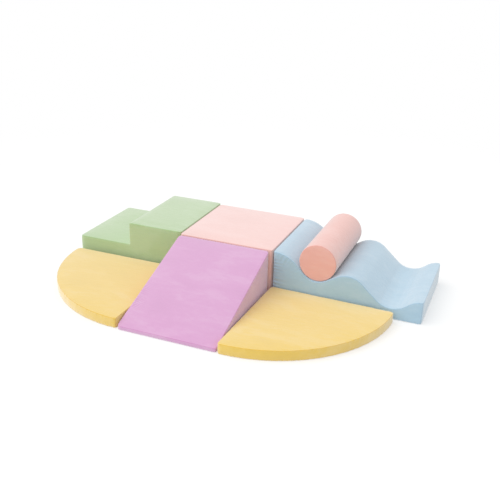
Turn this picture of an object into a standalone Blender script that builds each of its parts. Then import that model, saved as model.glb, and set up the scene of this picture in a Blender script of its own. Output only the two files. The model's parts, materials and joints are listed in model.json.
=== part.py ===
"""A soft climber for toddlers: six covered foam blocks laid side by side, and a roller in the wave block's dip.

The back row is a step block, a square block and a wave block. In front of the square block lies a wedge,
with a quarter-round mat on each side of it. Each block is a foam core in a sewn cover with a non-slip base
panel and a zip. Metres, +Z up, +X to the right and +Y to the back, with the origin on the floor under the
middle of the square block.
"""

import math

import bmesh
import bpy
from mathutils import Matrix, Vector

# Cloth, fits and roundings
GAP = 0.0003
CLOTH = 0.0015
EDGE_ROUND = 0.008
CORNER_ROUND = 0.016
TURN_UNDER = 0.004

# The back row
HEIGHT = 0.230
ROW_DEPTH = 0.490
SQUARE_WIDTH = 0.490
STEP_LENGTH = 0.600
STEP_TREAD = 0.300
STEP_LOW_HEIGHT = 0.111
STEP_SET_BACK = 0.022
WAVE_SET_FORWARD = 0.006

# The wave's top, as the places and heights of its crests and dips, and how much of each flank is straight
WAVE_LENGTH = 0.720
SEAT_PLACE = 0.2175
SEAT_HEIGHT = 0.1144
CREST_PLACE = 0.370
CREST_HEIGHT = 0.172
DIP_PLACE = 0.573
DIP_HEIGHT = 0.054
END_CREST_HEIGHT = 0.1105
SEAT_FLANK_STRAIGHT = 0.15
CREST_FLANK_STRAIGHT = 0.50
DIP_FLANK_STRAIGHT = 0.60
END_FLANK_STRAIGHT = 0.15

# The roller
ROLLER_DIAMETER = 0.180
ROLLER_LENGTH = 0.476
SEAT_CLEARANCE = 0.0005

# The front row
WEDGE_WIDTH = 0.478
WEDGE_LENGTH = 0.600
WEDGE_LIP = 0.020
WEDGE_SHIFT = 0.006
MAT_RADIUS = 0.600
MAT_THICKNESS = 0.050
RIGHT_MAT_TURN = math.radians(1.5)
RIGHT_MAT_GAP = 0.0025

# Hook-and-loop patches that hold the blocks together
PAD_THICKNESS = 0.002
PAD_LENGTH = 0.300
PAD_WIDTH = 0.050
PAD_HEIGHT = 0.150
MAT_PAD_LENGTH = 0.100
MAT_PAD_WIDTH = 0.025
MAT_PAD_PLACE = 0.250
PAD_ROUND = 0.006

# Zips
ZIP_LENGTH = 0.400
ZIP_HEIGHT = 0.034
TAPE_WIDTH = 0.024
CHAIN_WIDTH = 0.005
CHAIN_PROUD = 0.0012
SLIDER_LENGTH = 0.014
SLIDER_WIDTH = 0.010
SLIDER_TAIL = 0.008
SLIDER_NOSE = 0.006
SLIDER_SHOULDER = 0.005
SLIDER_WALL = 0.0010
END_ZIP_RADIUS = 0.068
END_TAPE_WIDTH = 0.014
END_ZIP_START = math.radians(80)
END_ZIP_SWEEP = math.radians(270)

# How finely round forms are divided
EDGE_STEPS = 3
CORE_EDGE_STEPS = 2
CORNER_STEPS = 4
ARC_STEP = math.radians(7)
MAT_ARC_STEP = math.radians(6)
PATCH_ARC_STEP = math.radians(22.5)
ROLLER_SIDES = 48
WELD = 0.00001
SAME_PLANE = math.radians(1)
SHARP = math.radians(30)
ANCHOR_MARK = 0.05

# Points of the wave's line keep this many corner roundings clear of its two ends
END_CLEAR = 1.2

# What the sizes above give
SKIN = CLOTH + GAP
BLOCK_GAP = 2 * PAD_THICKNESS + 3 * GAP
ROLLER_RADIUS = ROLLER_DIAMETER / 2
SEAT_RADIUS = ROLLER_RADIUS + SEAT_CLEARANCE
END_RADIUS = ROLLER_RADIUS - EDGE_ROUND - TURN_UNDER
ROW_FRONT = -ROW_DEPTH / 2
CHAIN_CHANNEL = CHAIN_WIDTH / 2 + GAP
SLIDER_TOP = CHAIN_PROUD + GAP + SLIDER_WALL

# Axes of a flat outline: (across, up, depth) of the outline to (x, y, z) of its block
FLAT = Matrix.Identity(4)
FACING_FRONT = Matrix(((1, 0, 0, 0), (0, 0, -1, 0), (0, 1, 0, 0), (0, 0, 0, 1)))
FACING_RIGHT = Matrix(((0, 0, 1, 0), (1, 0, 0, 0), (0, 1, 0, 0), (0, 0, 0, 1)))
ALONG_ZIP = Matrix(((0, 0, -1, 0), (0, 1, 0, 0), (1, 0, 0, 0), (0, 0, 0, 1)))

# Finishes
CLOTH_ROUGHNESS = 0.9
SLIDER_ROUGHNESS = 0.4
GREEN = (0.50, 0.62, 0.36)
PINK = (0.90, 0.62, 0.56)
PURPLE = (0.66, 0.42, 0.68)
BLUE = (0.45, 0.62, 0.76)
YELLOW = (0.85, 0.66, 0.27)
ROSE = (0.88, 0.50, 0.42)
FOAM = (0.93, 0.92, 0.88)
BASE_GREY = (0.16, 0.16, 0.17)
PATCH_GREY = (0.55, 0.55, 0.56)
SLIDER_WHITE = (0.80, 0.79, 0.77)
COVER_COLOURS = {
    "step": GREEN, "square": PINK, "wave": BLUE, "wedge": PURPLE,
    "left_mat": YELLOW, "right_mat": YELLOW, "roller": ROSE,
}


def collection(name):
    """A collection of the scene, for the parts or for their cutters."""
    made = bpy.data.collections.new(name)
    bpy.context.scene.collection.children.link(made)
    return made


def finish(name, colour, roughness):
    """A plain material of one colour."""
    made = bpy.data.materials.new(name)
    made.use_nodes = True
    shader = made.node_tree.nodes["Principled BSDF"]
    shader.inputs["Base Color"].default_value = (*colour, 1)
    shader.inputs["Roughness"].default_value = roughness
    shader.inputs["Metallic"].default_value = 0
    return made


def anchor(name, location, parent=None):
    """An empty that carries the pieces of one block, or a zip slider, at its own origin."""
    made = bpy.data.objects.new(name, None)
    made.empty_display_size = ANCHOR_MARK
    made.location = location
    made.parent = parent
    parts.objects.link(made)
    return made


def piece(name, shape, parent, colour, roughness=CLOTH_ROUGHNESS):
    """A named part from a bmesh, on its block's anchor."""
    mesh = bpy.data.meshes.new(name)
    shape.to_mesh(mesh)
    shape.free()
    mesh.shade_smooth()
    mesh.set_sharp_from_angle(angle=SHARP)
    mesh.materials.append(finish(name + "_finish", colour, roughness))
    made = bpy.data.objects.new(name, mesh)
    made.parent = parent
    parts.objects.link(made)
    return made


def combine(target, name, shape, parent, operation="DIFFERENCE"):
    """Cuts a bmesh away from a part, or joins it on with UNION. Its own object stays out of the render."""
    mesh = bpy.data.meshes.new(name)
    shape.to_mesh(mesh)
    shape.free()
    tool = bpy.data.objects.new(name, mesh)
    tool.parent = parent
    tool.hide_render = True
    tool.display_type = "WIRE"
    cutters.objects.link(tool)
    boolean = target.modifiers.new(name, "BOOLEAN")
    boolean.operation = operation
    boolean.solver = "EXACT"
    boolean.object = tool


def arc(centre, radius, start, end, step):
    """Points of a circular arc, both ends included."""
    count = max(2, math.ceil(abs(end - start) / step))
    angles = [start + (end - start) * i / count for i in range(count + 1)]
    return [(centre[0] + radius * math.cos(a), centre[1] + radius * math.sin(a)) for a in angles]


def rectangle(left, low, right, high):
    """A rectangle's corners, anticlockwise."""
    return [(left, low), (right, low), (right, high), (left, high)]


def rounded_rectangle(length, width, radius):
    """A centred rectangle with round corners, anticlockwise."""
    corners = [(1, 1), (-1, 1), (-1, -1), (1, -1)]
    points = []
    for turn, (across, up) in enumerate(corners):
        centre = (across * (length / 2 - radius), up * (width / 2 - radius))
        start = turn * math.pi / 2
        points += arc(centre, radius, start, start + math.pi / 2, PATCH_ARC_STEP)
    return points


def sector(inner, outer, start, end):
    """A ring's sector about the origin, anticlockwise."""
    step = 2 * math.pi / ROLLER_SIDES
    return arc((0, 0), outer, start, end, step) + arc((0, 0), inner, end, start, step)


def inset(outline, distance):
    """An anticlockwise outline moved inwards, each side staying parallel to itself."""
    points = [Vector(p) for p in outline]
    moved = []
    for before, here, after in zip(points[-1:] + points[:-1], points, points[1:] + points[:1]):
        arriving = (here - before).normalized()
        leaving = (after - here).normalized()
        inward = Vector((-arriving.y, arriving.x))
        middle = (inward + Vector((-leaving.y, leaving.x))).normalized()
        moved.append(here + middle * distance / middle.dot(inward))
    return [tuple(p) for p in moved]


def prism(outline, low, high, axes):
    """A flat outline given thickness between two depths, as a closed bmesh in its block's axes."""
    curve = bpy.data.curves.new("outline", "CURVE")
    curve.dimensions = "2D"
    curve.fill_mode = "BOTH"
    curve.extrude = (high - low) / 2
    spline = curve.splines.new("POLY")
    spline.points.add(len(outline) - 1)
    for point, (across, up) in zip(spline.points, outline):
        point.co = (across, up, 0, 1)
    spline.use_cyclic_u = True
    holder = bpy.data.objects.new("outline", curve)
    bpy.context.scene.collection.objects.link(holder)
    graph = bpy.context.evaluated_depsgraph_get()
    mesh = bpy.data.meshes.new_from_object(holder.evaluated_get(graph))
    shape = bmesh.new()
    shape.from_mesh(mesh)
    bpy.data.objects.remove(holder)
    bpy.data.curves.remove(curve)
    bpy.data.meshes.remove(mesh)
    bmesh.ops.remove_doubles(shape, verts=shape.verts, dist=WELD)
    bmesh.ops.dissolve_limit(shape, angle_limit=SAME_PLANE, verts=shape.verts, edges=shape.edges)
    bmesh.ops.translate(shape, verts=shape.verts, vec=(0, 0, (low + high) / 2))
    bmesh.ops.transform(shape, matrix=axes, verts=shape.verts)
    bmesh.ops.recalc_face_normals(shape, faces=shape.faces)
    return shape


def box(low, high):
    """A box between two corners."""
    shape = bmesh.new()
    size = [b - a for a, b in zip(low, high)]
    middle = [(a + b) / 2 for a, b in zip(low, high)]
    place = Matrix.Translation(middle) @ Matrix.Diagonal((*size, 1))
    bmesh.ops.create_cube(shape, size=1, matrix=place)
    return shape


def bevel(shape, edges, width, steps):
    """Rounds the given edges."""
    bmesh.ops.bevel(
        shape, geom=edges, offset=width, offset_type="OFFSET", segments=steps,
        profile=0.5, affect="EDGES", clamp_overlap=False, material=-1,
    )


def soften(shape, steps=EDGE_STEPS):
    """Rounds a block as its filled cover does: the upright corners first, then every other outer edge."""
    floor = min(v.co.z for v in shape.verts)
    upright = []
    for edge in shape.edges:
        low, high = sorted((v.co for v in edge.verts), key=lambda place: place.z)
        stands = low.z < floor + WELD and (high - low).xy.length < WELD
        if stands and edge.calc_face_angle() > SHARP:
            upright.append(edge)
    bevel(shape, upright, CORNER_ROUND, CORNER_STEPS)
    outer = [e for e in shape.edges if e.is_convex and e.calc_face_angle() > SHARP]
    bevel(shape, outer, EDGE_ROUND, steps)
    return shape


def core_of(outline, low, high, axes):
    """The foam that fills a cover with this outline, a little smaller all round."""
    return soften(prism(inset(outline, SKIN), low + SKIN, high - SKIN, axes), CORE_EDGE_STEPS)


def underside(shape):
    """The flat face that a block rests on."""
    floor = min(v.co.z for v in shape.verts)
    lying = [f for f in shape.faces if all(v.co.z < floor + WELD for v in f.verts)]
    return max(lying, key=lambda face: face.calc_area())


def line(cover):
    """Gives a cover's open surface the thickness of its cloth, inwards."""
    wall = cover.modifiers.new("cloth", "SOLIDIFY")
    wall.thickness = CLOTH
    wall.offset = -1
    wall.use_even_offset = True


def dress(name, shape, home):
    """A sewn cover that is open underneath, and the non-slip panel that closes it, round a soft block."""
    mouth = underside(shape)
    bmesh.ops.inset_region(shape, faces=[mouth], thickness=TURN_UNDER, use_even_offset=True)
    rim = [(v.co.x, v.co.y) for v in reversed(mouth.verts)]
    bmesh.ops.delete(shape, geom=[mouth], context="FACES")
    cover = piece(name + "_cover", shape, home, COVER_COLOURS[name])
    line(cover)
    panel = prism(inset(rim, GAP), 0, CLOTH, FLAT)
    piece(name + "_base_panel", panel, home, BASE_GREY)
    return cover


def straight_zip(name, cover, home, place, closed_end):
    """A zip sewn into a back face, and its slider at the end of the chain that closed_end names, -1 or 1."""
    x, y, z = place
    half = ZIP_LENGTH / 2
    tape = TAPE_WIDTH / 2
    chain = CHAIN_WIDTH / 2
    slot = box((x - half, y - 2 * CLOTH, z - tape), (x + half, y + CLOTH, z + tape))
    combine(cover, name + "_zip_slot", slot, home)
    section = [
        (-tape + GAP, -CLOTH), (tape - GAP, -CLOTH), (tape - GAP, 0), (chain, 0),
        (chain, CHAIN_PROUD), (-chain, CHAIN_PROUD), (-chain, 0), (-tape + GAP, 0),
    ]
    strip = prism(section, -half + GAP, half - GAP, ALONG_ZIP)
    bmesh.ops.translate(strip, verts=strip.verts, vec=place)
    piece(name + "_zip", strip, home, COVER_COLOURS[name])
    start = closed_end * (half - SLIDER_LENGTH)
    carrier = anchor(name + "_slider_path", (x + start, y, z), home)
    body = prism(slider_outline(-closed_end), -SLIDER_TOP, -GAP, FACING_FRONT)
    slider = piece(name + "_zip_slider", body, carrier, SLIDER_WHITE, SLIDER_ROUGHNESS)
    channel = box(
        (-SLIDER_LENGTH, -CLOTH, -CHAIN_CHANNEL),
        (SLIDER_LENGTH, CHAIN_PROUD + GAP, CHAIN_CHANNEL),
    )
    combine(slider, name + "_slider_channel", channel, carrier)


def slider_outline(nose):
    """A zip slider seen from outside: wide shoulders towards its nose, -1 or 1, and a narrow tail."""
    half = SLIDER_LENGTH / 2
    wide = SLIDER_WIDTH / 2
    tail = SLIDER_TAIL / 2
    tip = SLIDER_NOSE / 2
    points = [
        (-half, -tail), (0, -wide), (SLIDER_SHOULDER, -wide), (half, -tip),
        (half, tip), (SLIDER_SHOULDER, wide), (0, wide), (-half, tail),
    ]
    if nose > 0:
        return points
    return [(-across, -up) for across, up in points]


def patch(name, home, axes, length, width, centre, face, outward):
    """A hook-and-loop patch on a block's side: outward is the way it faces along its depth axis, -1 or 1."""
    near, far = sorted((face + outward * GAP, face + outward * (GAP + PAD_THICKNESS)))
    outline = [(u + centre[0], v + centre[1]) for u, v in rounded_rectangle(length, width, PAD_ROUND)]
    piece(name, prism(outline, near, far, axes), home, PATCH_GREY)


def back_row_patch(name, home, face, outward):
    """A patch on a left or right face of the back row."""
    patch(name, home, FACING_RIGHT, PAD_LENGTH, PAD_WIDTH, (0, PAD_HEIGHT), face, outward)


def square_block():
    """The level block in the middle of the back row."""
    home = anchor("square_block", (0, 0, 0))
    half = SQUARE_WIDTH / 2
    outline = rectangle(-half, ROW_FRONT, half, -ROW_FRONT)
    cover = dress("square", soften(prism(outline, 0, HEIGHT, FLAT)), home)
    piece("square_foam_core", core_of(outline, 0, HEIGHT, FLAT), home, FOAM)
    straight_zip("square", cover, home, (0, -ROW_FRONT, ZIP_HEIGHT), 1)
    back_row_patch("square_left_patch", home, -half, -1)
    back_row_patch("square_right_patch", home, half, 1)
    patch(
        "square_front_patch", home, FACING_FRONT, PAD_LENGTH, PAD_WIDTH,
        (-WEDGE_SHIFT, PAD_HEIGHT), -ROW_FRONT, 1,
    )


def step_outline():
    """The step block's side: a low step on the left, and the block's full height on the right."""
    return [
        (-STEP_LENGTH, 0), (0, 0), (0, HEIGHT), (STEP_TREAD - STEP_LENGTH, HEIGHT),
        (STEP_TREAD - STEP_LENGTH, STEP_LOW_HEIGHT), (-STEP_LENGTH, STEP_LOW_HEIGHT),
    ]


def slab(shape, height, keep):
    """The part of a foam core below a level, or above it, with keep as -1 or 1."""
    geometry = shape.verts[:] + shape.edges[:] + shape.faces[:]
    level = (0, 0, height)
    bmesh.ops.bisect_plane(
        shape, geom=geometry, plane_co=level, plane_no=(0, 0, keep), clear_inner=True, dist=WELD,
    )
    rim = [e for e in shape.edges if e.is_boundary]
    bmesh.ops.holes_fill(shape, edges=rim, sides=0)
    bmesh.ops.recalc_face_normals(shape, faces=shape.faces)
    return shape


def step_block():
    """The two-step block on the left, its foam glued up from a lower and an upper slab."""
    home = anchor("step_block", (-SQUARE_WIDTH / 2 - BLOCK_GAP, STEP_SET_BACK, 0))
    outline = step_outline()
    cover = dress("step", soften(prism(outline, ROW_FRONT, -ROW_FRONT, FACING_FRONT)), home)
    joint = STEP_LOW_HEIGHT - SKIN
    lower = slab(core_of(outline, ROW_FRONT, -ROW_FRONT, FACING_FRONT), joint, -1)
    piece("step_lower_foam", lower, home, FOAM)
    upper = slab(core_of(outline, ROW_FRONT, -ROW_FRONT, FACING_FRONT), joint + GAP, 1)
    piece("step_upper_foam", upper, home, FOAM)
    straight_zip("step", cover, home, (-STEP_LENGTH / 2, -ROW_FRONT, ZIP_HEIGHT), -1)
    back_row_patch("step_patch", home, 0, 1)


def flank(start, end, straight):
    """The slope of a flank between a crest and a dip, and the sum of its two arcs' radii.

    With no straight stretch the two arcs meet. The more of it is straight, the gentler its slope.
    """
    run = end[0] - start[0]
    drop = abs(end[1] - start[1])
    slope = math.atan2(drop, run) * (2 - straight)
    radii = (run * math.sin(slope) - drop * math.cos(slope)) / (1 - math.cos(slope))
    return slope, radii


def wave_top():
    """The wave's upper line from left to right. The roller's seat keeps the roller's own curve."""
    turns = [
        (0, HEIGHT), (SEAT_PLACE, SEAT_HEIGHT), (CREST_PLACE, CREST_HEIGHT),
        (DIP_PLACE, DIP_HEIGHT), (WAVE_LENGTH, END_CREST_HEIGHT),
    ]
    straights = [SEAT_FLANK_STRAIGHT, CREST_FLANK_STRAIGHT, DIP_FLANK_STRAIGHT, END_FLANK_STRAIGHT]
    points = []
    for start, end, straight in zip(turns, turns[1:], straights):
        slope, radii = flank(start, end, straight)
        leaving = arriving = radii / 2
        if end[0] == SEAT_PLACE:
            leaving, arriving = radii - SEAT_RADIUS, SEAT_RADIUS
        if start[0] == SEAT_PLACE:
            leaving, arriving = SEAT_RADIUS, radii - SEAT_RADIUS
        way = 1 if end[1] > start[1] else -1
        count = math.ceil(slope / ARC_STEP)
        angles = [slope * i / count for i in range(count + 1)]
        points += [
            (start[0] + leaving * math.sin(a), start[1] + way * leaving * (1 - math.cos(a)))
            for a in angles[1 if points else 0:]
        ]
        points += [
            (end[0] - arriving * math.sin(a), end[1] - way * arriving * (1 - math.cos(a)))
            for a in reversed(angles)
        ]
    clear = END_CLEAR * CORNER_ROUND
    middle = [p for p in points if clear < p[0] < WAVE_LENGTH - clear]
    return [points[0], *middle, points[-1]]


def wave_block():
    """The wave block on the right, with the roller's seat and a shallow dip after it."""
    home = anchor("wave_block", (SQUARE_WIDTH / 2 + BLOCK_GAP, -WAVE_SET_FORWARD, 0))
    outline = [(0, 0), (WAVE_LENGTH, 0)] + wave_top()[::-1]
    cover = dress("wave", soften(prism(outline, ROW_FRONT, -ROW_FRONT, FACING_FRONT)), home)
    piece("wave_foam_core", core_of(outline, ROW_FRONT, -ROW_FRONT, FACING_FRONT), home, FOAM)
    middle = EDGE_ROUND + CORNER_ROUND + ZIP_LENGTH / 2
    straight_zip("wave", cover, home, (middle, -ROW_FRONT, ZIP_HEIGHT), 1)
    back_row_patch("wave_patch", home, 0, -1)
    return home


def turned(profile, steps):
    """A profile of (radius, height) points, turned into an open surface about the upright axis."""
    shape = bmesh.new()
    line = [shape.verts.new((radius, 0, height)) for radius, height in profile]
    edges = [shape.edges.new(pair) for pair in zip(line, line[1:])]
    bmesh.ops.spin(
        shape, geom=line + edges, cent=(0, 0, 0), axis=(0, 0, 1), angle=2 * math.pi,
        steps=steps, use_merge=True,
    )
    bmesh.ops.remove_doubles(shape, verts=shape.verts, dist=WELD)
    bmesh.ops.recalc_face_normals(shape, faces=shape.faces)
    return shape


def disc(name, low, high, parent):
    """A round end panel, cut to sit inside the roller cover's rolled edge."""
    shape = bmesh.new()
    radius = END_RADIUS - GAP
    place = Matrix.Translation((0, 0, (low + high) / 2))
    bmesh.ops.create_cone(
        shape, cap_ends=True, segments=ROLLER_SIDES, radius1=radius, radius2=radius,
        depth=high - low, matrix=place,
    )
    return piece(name, shape, parent, ROSE)


def roller(wave_home):
    """The roller in its seat: foam that lifts out, and a cover that rolls with its zip round the back end."""
    axis_height = SEAT_HEIGHT + SEAT_RADIUS
    lift = anchor("roller_lift", (SEAT_PLACE, -ROLLER_LENGTH / 2, axis_height), wave_home)
    lift.rotation_euler = (-math.pi / 2, 0, 0)
    turn = anchor("roller_turn", (0, 0, 0), lift)
    foam = bmesh.new()
    bmesh.ops.create_cone(
        foam, cap_ends=True, segments=ROLLER_SIDES, radius1=ROLLER_RADIUS - SKIN,
        radius2=ROLLER_RADIUS - SKIN, depth=ROLLER_LENGTH - 2 * SKIN,
        matrix=Matrix.Translation((0, 0, ROLLER_LENGTH / 2)),
    )
    bevel(foam, [e for e in foam.edges if e.calc_face_angle() > SHARP], EDGE_ROUND, CORE_EDGE_STEPS)
    piece("roller_foam_core", foam, lift, FOAM)
    quarter = math.pi / 2
    centre = ROLLER_RADIUS - EDGE_ROUND
    profile = [(END_RADIUS, 0)]
    profile += arc((centre, EDGE_ROUND), EDGE_ROUND, -quarter, 0, quarter / EDGE_STEPS)
    profile += arc((centre, ROLLER_LENGTH - EDGE_ROUND), EDGE_ROUND, 0, quarter, quarter / EDGE_STEPS)
    profile += [(END_RADIUS, ROLLER_LENGTH)]
    tube = piece("roller_cover", turned(profile, ROLLER_SIDES), turn, ROSE)
    line(tube)
    disc("roller_front_end", 0, CLOTH, turn)
    back = disc("roller_back_end", ROLLER_LENGTH - CLOTH, ROLLER_LENGTH, turn)
    end_zip(back, turn)


def end_zip(panel, turn):
    """The zip that runs three quarters of the way round the roller's back end, and its slider."""
    start, end = END_ZIP_START, END_ZIP_START + END_ZIP_SWEEP
    tape = END_TAPE_WIDTH / 2
    chain = CHAIN_WIDTH / 2
    inner, outer = END_ZIP_RADIUS - tape, END_ZIP_RADIUS + tape
    slot = prism(
        sector(inner, outer, start, end), ROLLER_LENGTH - 2 * CLOTH, ROLLER_LENGTH + CLOTH, FLAT,
    )
    combine(panel, "roller_zip_slot", slot, turn)
    short = GAP / END_ZIP_RADIUS
    strip = prism(
        sector(inner + GAP, outer - GAP, start + short, end - short),
        ROLLER_LENGTH - CLOTH, ROLLER_LENGTH, FLAT,
    )
    ridge = prism(
        sector(END_ZIP_RADIUS - chain, END_ZIP_RADIUS + chain, start + short, end - short),
        ROLLER_LENGTH - CLOTH / 2, ROLLER_LENGTH + CHAIN_PROUD, FLAT,
    )
    zip_tape = piece("roller_zip", strip, turn, ROSE)
    combine(zip_tape, "roller_zip_chain", ridge, turn, "UNION")
    carrier = anchor("roller_slider_path", (0, 0, ROLLER_LENGTH), turn)
    rest = start + SLIDER_LENGTH / END_ZIP_RADIUS
    outline = []
    for along, across in slider_outline(1):
        spot = Matrix.Rotation(rest, 2) @ Vector((END_ZIP_RADIUS - across, along))
        outline.append(tuple(spot))
    body = prism(outline, GAP, SLIDER_TOP, FLAT)
    slider = piece("roller_zip_slider", body, carrier, SLIDER_WHITE, SLIDER_ROUGHNESS)
    reach = 2 * SLIDER_LENGTH / END_ZIP_RADIUS
    channel = prism(
        sector(END_ZIP_RADIUS - CHAIN_CHANNEL, END_ZIP_RADIUS + CHAIN_CHANNEL, rest - reach, rest + reach),
        -CLOTH, CHAIN_PROUD + GAP, FLAT,
    )
    combine(slider, "roller_slider_channel", channel, carrier)


def wedge():
    """The ramp in front of the square block."""
    home = anchor("wedge", (-WEDGE_SHIFT, ROW_FRONT - BLOCK_GAP, 0))
    half = WEDGE_WIDTH / 2
    outline = [(-WEDGE_LENGTH, 0), (0, 0), (0, HEIGHT), (-WEDGE_LENGTH, WEDGE_LIP)]
    cover = dress("wedge", soften(prism(outline, -half, half, FACING_RIGHT)), home)
    piece("wedge_foam_core", core_of(outline, -half, half, FACING_RIGHT), home, FOAM)
    straight_zip("wedge", cover, home, (0, 0, ZIP_HEIGHT), 1)
    patch(
        "wedge_back_patch", home, FACING_FRONT, PAD_LENGTH, PAD_WIDTH, (0, PAD_HEIGHT), 0, -1,
    )
    along = MAT_PAD_PLACE - WEDGE_LENGTH
    for side, outward in (("left", -1), ("right", 1)):
        patch(
            f"wedge_{side}_patch", home, FACING_RIGHT, MAT_PAD_LENGTH, MAT_PAD_WIDTH,
            (along, MAT_THICKNESS / 2), outward * half, outward,
        )


def quarter_round(side):
    """A quarter disc from its square corner at the origin towards the front, on the side -1 or 1."""
    start = math.pi if side < 0 else -math.pi / 2
    return [(0, 0)] + arc((0, 0), MAT_RADIUS, start, start + math.pi / 2, MAT_ARC_STEP)


def mat(name, side, location, turn):
    """A quarter-round landing mat beside the wedge."""
    home = anchor(name, location)
    home.rotation_euler = (0, 0, turn)
    outline = quarter_round(side)
    cover = dress(name, soften(prism(outline, 0, MAT_THICKNESS, FLAT)), home)
    piece(name + "_foam_core", core_of(outline, 0, MAT_THICKNESS, FLAT), home, FOAM)
    straight_zip(name, cover, home, (side * MAT_RADIUS / 2, 0, MAT_THICKNESS / 2), side)
    patch(
        name + "_patch", home, FACING_RIGHT, MAT_PAD_LENGTH, MAT_PAD_WIDTH,
        (MAT_PAD_PLACE - MAT_RADIUS, MAT_THICKNESS / 2), 0, -side,
    )


def mats():
    """The two mats. The right one lies a little turned, so it meets the wedge at its near corner or its patch."""
    half = WEDGE_WIDTH / 2
    left_side = -WEDGE_SHIFT - half - BLOCK_GAP
    mat("left_mat", -1, (left_side, ROW_FRONT, 0), 0)
    lean = math.tan(RIGHT_MAT_TURN)
    back = ROW_FRONT - WAVE_SET_FORWARD - RIGHT_MAT_GAP
    toe = ROW_FRONT - BLOCK_GAP - WEDGE_LENGTH
    touch = min(back - toe, MAT_RADIUS) - CORNER_ROUND
    patch_end = MAT_RADIUS - MAT_PAD_PLACE + MAT_PAD_LENGTH / 2
    swing = max(GAP + touch * lean, BLOCK_GAP + patch_end * lean)
    mat("right_mat", 1, (half - WEDGE_SHIFT + swing, back, 0), -RIGHT_MAT_TURN)


for leftover in list(bpy.data.objects):
    bpy.data.objects.remove(leftover)
parts = collection("toddler_climber")
cutters = collection("cutters")
square_block()
step_block()
roller(wave_block())
wedge()
mats()
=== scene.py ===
import json
import math

import bmesh
import bpy
import numpy as np
from mathutils import Matrix, Vector, noise
from mathutils.bvhtree import BVHTree
from mathutils.kdtree import KDTree

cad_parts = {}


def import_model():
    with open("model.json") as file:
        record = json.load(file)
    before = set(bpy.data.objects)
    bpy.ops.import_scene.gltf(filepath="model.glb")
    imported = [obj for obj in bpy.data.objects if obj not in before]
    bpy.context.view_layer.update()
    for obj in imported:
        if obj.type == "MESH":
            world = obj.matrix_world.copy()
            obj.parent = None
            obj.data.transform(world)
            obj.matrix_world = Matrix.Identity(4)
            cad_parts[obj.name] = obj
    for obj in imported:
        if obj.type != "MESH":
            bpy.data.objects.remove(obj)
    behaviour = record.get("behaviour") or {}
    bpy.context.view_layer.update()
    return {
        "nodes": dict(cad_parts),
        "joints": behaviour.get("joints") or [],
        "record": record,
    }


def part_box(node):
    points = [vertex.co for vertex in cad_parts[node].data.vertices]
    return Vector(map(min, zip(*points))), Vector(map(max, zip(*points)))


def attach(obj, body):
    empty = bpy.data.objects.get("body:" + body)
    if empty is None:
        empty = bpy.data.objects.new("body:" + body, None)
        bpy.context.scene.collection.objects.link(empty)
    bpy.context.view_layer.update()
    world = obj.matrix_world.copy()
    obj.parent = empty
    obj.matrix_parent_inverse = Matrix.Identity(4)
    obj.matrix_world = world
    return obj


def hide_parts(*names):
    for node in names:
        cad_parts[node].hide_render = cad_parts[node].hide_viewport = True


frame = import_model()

UP = Vector((0, 0, 1))
DOWN = Vector((0, 0, -1))
FRONT = Vector((0, -1, 0))

# Camera: its lens in millimetres, its angles in degrees, its distance and target in metres
LENS = 52.06
CAMERA_AZIMUTH = 21.697
CAMERA_ELEVATION = 23.121
CAMERA_DISTANCE = 3.9945
CAMERA_TARGET = Vector((-0.053, 0.2169, 0))
CAMERA_ROLL = 1.464

# The frame's meshes: points this near are one, and faces this level are one
TINY = 0.00001
FLAT_ANGLE = math.radians(1)

# The lines that the seams follow
CORNER_ROUND = 0.012
RAY_HEIGHT = 1
WAVE_STEPS = 90
WAVE_INSET = 0.012
WEDGE_PROBE = 0.05
MAT_STEPS = 60
TUBE_STEPS = 120
SEAM_SAMPLE = 0.0005
SEAM_EVENING = 40
SEAM_APART = 10

# Covers: cloth over foam
SKIN = 0.0018
FOAM_GRID = 0.008
ROLLER_GRID = 0.005
EVEN_STEPS = 3
CREASE_REACH = 0.55
CREASE_MERGE = 0.3
SEAM_HOLD = 0.012
SEAM_BANDS = (0.010, 0.004)
SEAM_DEPTH = 0.0008
SEAM_WIDTH = 0.0013
EDGE_SHARE = 0.55
EDGE_REACH = 0.0045
TOP_CROWN = 0.0045
SIDE_CROWN = 0.0020
END_CROWN = 0.0050
TUBE_CROWN = 0.0002
FLAT_CROWN = -0.0005
FLAT_MARGIN = 0.006
FACING = 0.5
UNDERSIDE = -0.7
NEIGHBOUR_REACH = 0.020
NEIGHBOUR_CLEARANCE = 0.0005
FLOOR_CLEARANCE = 0.0002
FOAM_EASE = 0.0020
FOAM_SHARP_ANGLE = math.radians(35)

# Loose folds all along the seams, and rows of folds where the cloth is gathered
PUCKER_HEIGHT = 0.0007
PUCKER_REACH = 0.020
PUCKER_LENGTH = 0.010
PUCKER_END = 0.070
PUCKER_SHARE = 0.8
SEAM_TAUT = 0.005
GATHER_PITCH = 0.017
GATHER_HEIGHT = 0.0013
GATHER_REACH = 0.055
GATHER_SHARE = 0.7
GATHER_DRIFT = 1.5
LEAST_GATHER = 0.001

# The noise that varies the folds: the row that each of them is read from, and how far it is drawn out
FOLD_ROW = 0.7
FOLD_STRETCH = 6
SWELL_ROW = 4.1
SWELL_STRETCH = 7
GATHER_ROW = 8.3
GATHER_STRETCH = 2
NOISE_DEPTH = 0.3

# Cloth simulation
SIM_FRAMES = 10
SIM_QUALITY = 4
SIM_MASS = 0.3
SIM_PRESSURE = 1.2
SIM_TENSION = 25
SIM_SHEAR = SIM_TENSION / 3
SIM_BENDING = 0.6

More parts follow.
